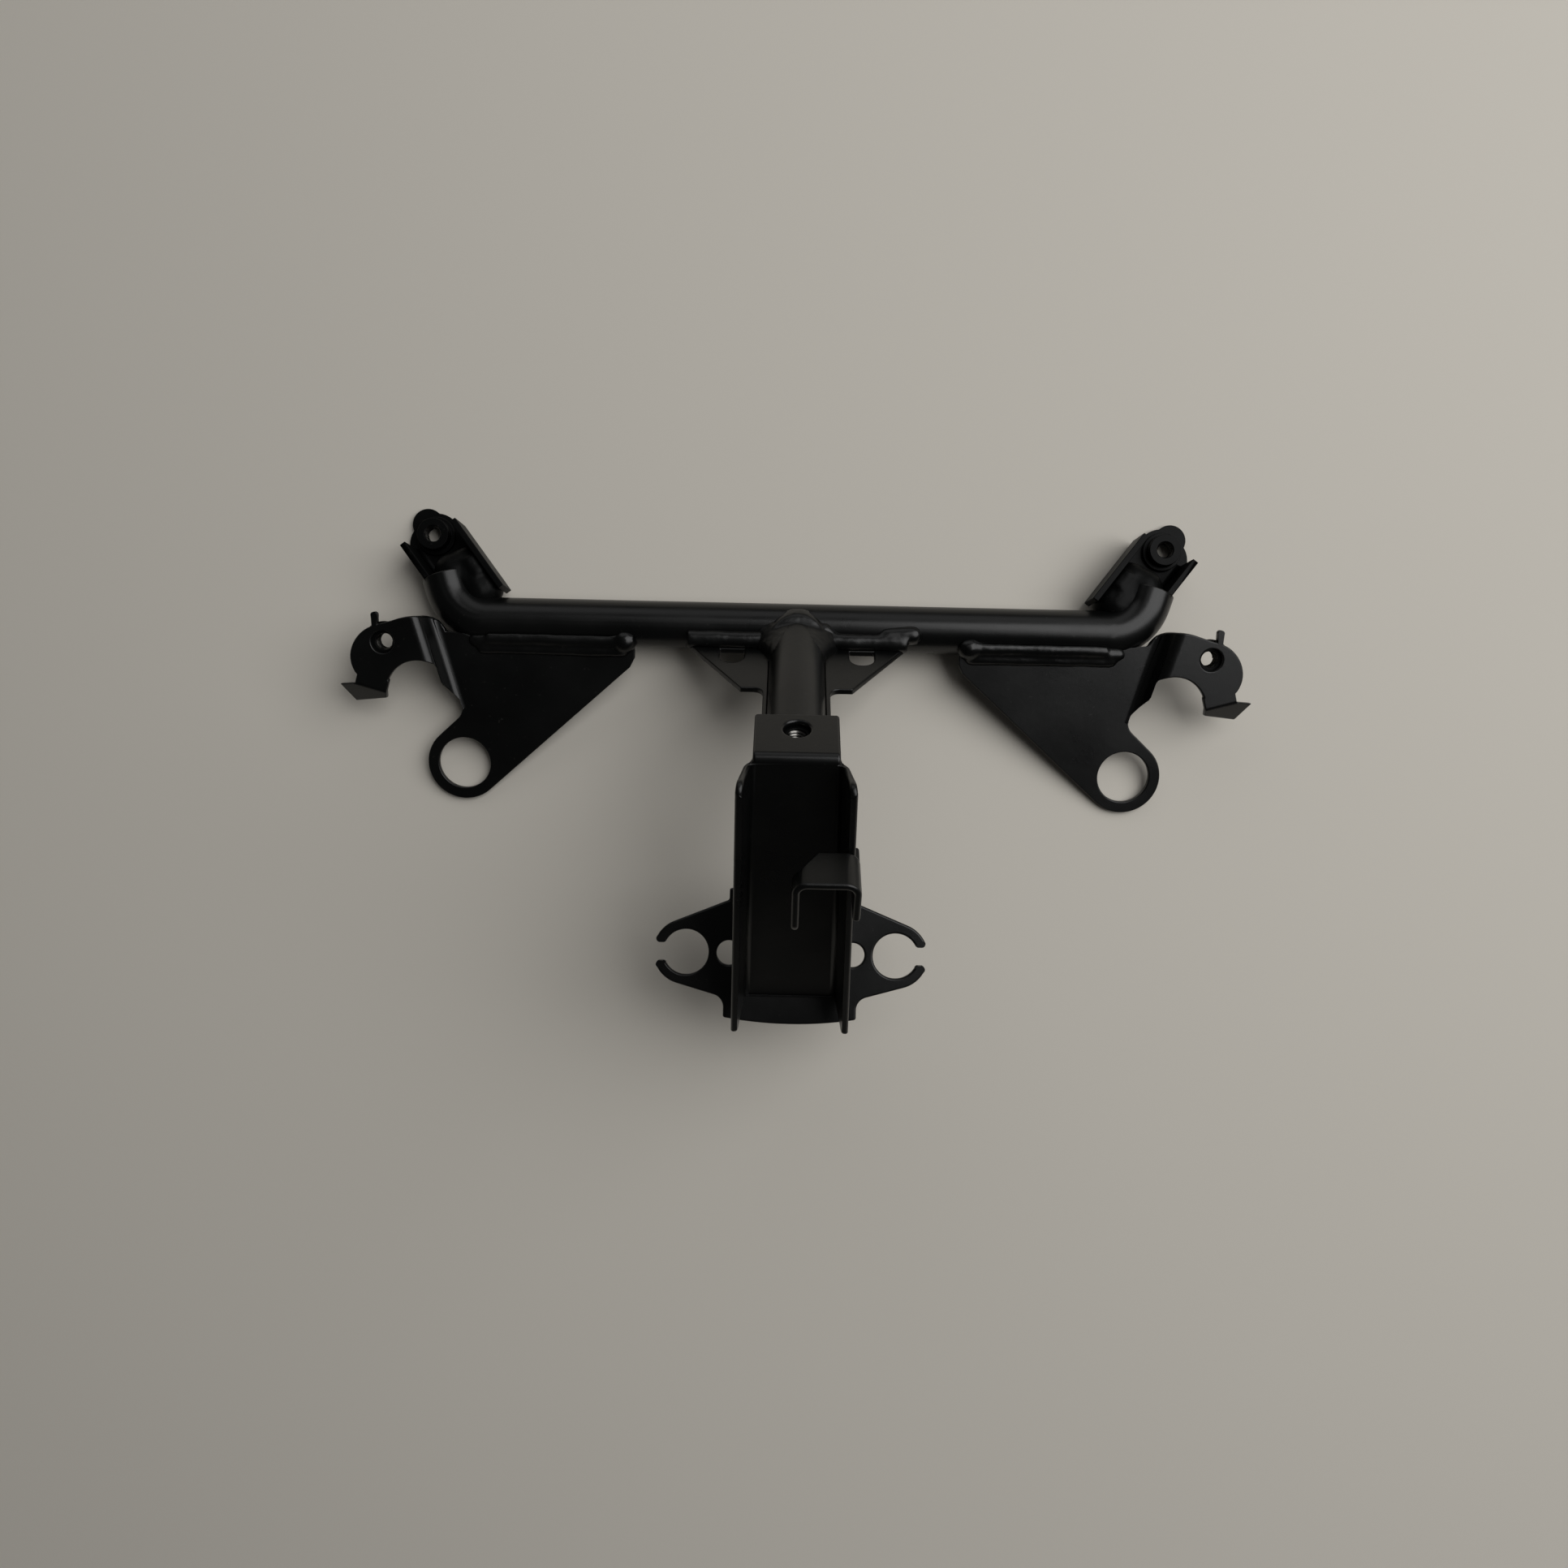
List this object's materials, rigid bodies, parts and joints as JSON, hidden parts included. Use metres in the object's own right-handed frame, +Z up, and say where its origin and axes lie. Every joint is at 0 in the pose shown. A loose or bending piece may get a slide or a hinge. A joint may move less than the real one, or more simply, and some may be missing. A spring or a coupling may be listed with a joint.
{
  "type": "headlight mounting bracket",
  "caption": "Black welded bracket for a motorbike headlight, with a bent tube, a leaning stem with a channel, hooked side plates and U ends.",
  "frame": {"origin": "mouth of the thread under the channel's bolt tab", "axes": "+X along the crossbar to the right of the picture, +Y towards the crossbar's bent ends, +Z up"},
  "size_m": [0.3698, 0.2047, 0.1285],
  "materials": {
    "black_paint": "satin black powder coat over steel"
  },
  "bodies": {
    "root": {"crossbar_tube": "black_paint", "stem_tube": "black_paint", "mount_channel": "black_paint", "tab_nut": "black_paint", "cable_plate": "black_paint", "cable_plate_weld": "black_paint", "stem_weld": "black_paint", "channel_weld": "black_paint", "left_gusset": "black_paint", "left_side_plate": "black_paint", "left_end_bracket": "black_paint", "left_hook_nut": "black_paint", "left_end_nut": "black_paint", "left_plate_weld": "black_paint", "left_gusset_weld": "black_paint", "left_end_weld": "black_paint", "right_gusset": "black_paint", "right_side_plate": "black_paint", "right_end_bracket": "black_paint", "right_hook_nut": "black_paint", "right_end_nut": "black_paint", "right_plate_weld": "black_paint", "right_gusset_weld": "black_paint", "right_end_weld": "black_paint"}
  },
  "joints": []
}
